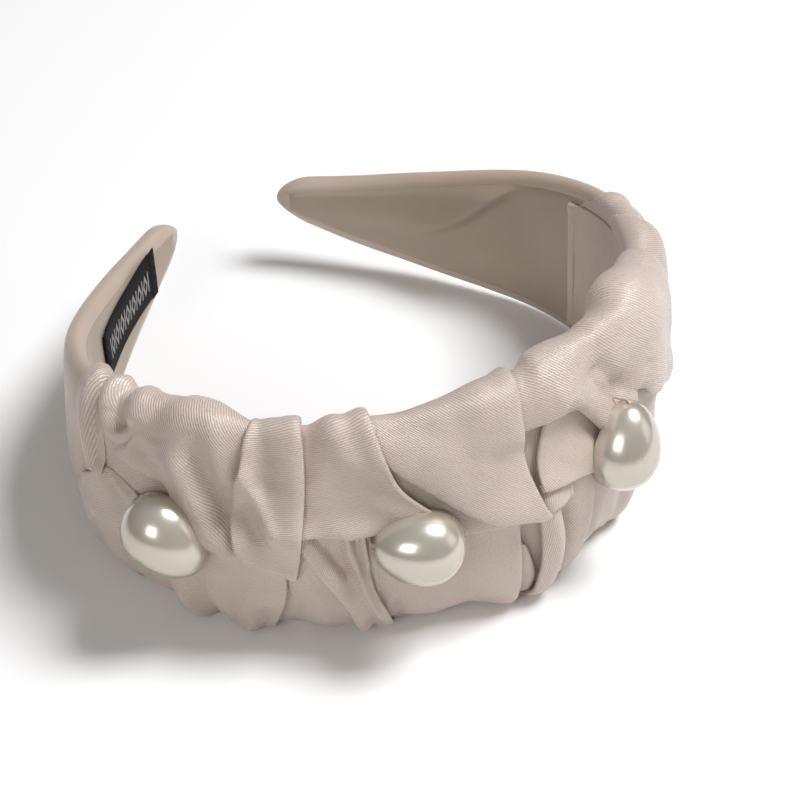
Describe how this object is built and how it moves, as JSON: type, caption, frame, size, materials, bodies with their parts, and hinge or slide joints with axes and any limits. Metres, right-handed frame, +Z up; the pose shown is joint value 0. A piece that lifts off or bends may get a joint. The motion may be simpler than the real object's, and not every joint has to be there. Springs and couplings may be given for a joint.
{
  "type": "padded headband",
  "caption": "Wide padded satin headband lying on its side edge, with a pleated wrap over the crown, tapering plain arms and sewn-on pearls.",
  "frame": {"origin": "on the surface the band lies on, under the middle of its overall box", "axes": "+Z up, as the band lies on its lower side edge; the crown is at -Y and the two arm ends point to +Y; X runs across the widest part, and seen from the crown side the woven label is in the left arm at -X. The band's own axis leans 5.5 degrees from +Z towards +Y because the tapered arms let it rest back on its edge"},
  "size_m": [0.158, 0.1533, 0.0586],
  "materials": {
    "satin": "champagne taupe satin with a fine diagonal twill, soft sheen",
    "satin_lining": "the same satin laid flat on the inside of the band",
    "foam": "soft off-white foam, sealed inside",
    "hoop_plastic": "springy moulded plastic strip, sealed inside",
    "pearl": "pearlescent coated bead, cream with a grey-green cast",
    "thread": "sewing thread in the satin's colour",
    "label": "black woven damask tape with a plain light motif"
  },
  "bodies": {
    "left_half": {"hoop_core_left": "hoop_plastic", "foam_pad_left": "foam", "crown_lining_left": "satin_lining", "arm_lining_left": "satin_lining", "arm_cover_left": "satin", "upper_pleat_1": "satin", "upper_pleat_2": "satin", "upper_pleat_3": "satin", "upper_pleat_4": "satin", "upper_pleat_5": "satin", "lower_pleat_1": "satin", "lower_pleat_2": "satin", "lower_pleat_3": "satin", "lower_pleat_4": "satin", "lower_pleat_5": "satin", "pearl_left": "pearl", "pearl_middle": "pearl", "pearl_thread_left": "thread", "pearl_thread_middle": "thread", "woven_label": "label", "label_stitches": "thread"},
    "right_half": {"hoop_core_right": "hoop_plastic", "foam_pad_right": "foam", "crown_lining_right": "satin_lining", "arm_lining_right": "satin_lining", "arm_cover_right": "satin", "upper_pleat_6": "satin", "upper_pleat_7": "satin", "upper_pleat_8": "satin", "upper_pleat_9": "satin", "lower_pleat_6": "satin", "lower_pleat_7": "satin", "lower_pleat_8": "satin", "lower_pleat_9": "satin", "pearl_right": "pearl", "pearl_thread_right": "thread"}
  },
  "joints": [
    {"name": "hoop_flex", "type": "hinge", "parent": "left_half", "child": "right_half", "pos_m": [0.0011, -0.06847, 0.03065], "axis": [0, -0.0958, -0.9954], "range_deg": [0, 12], "stiffness_Nm_per_rad": 0.9}
  ]
}
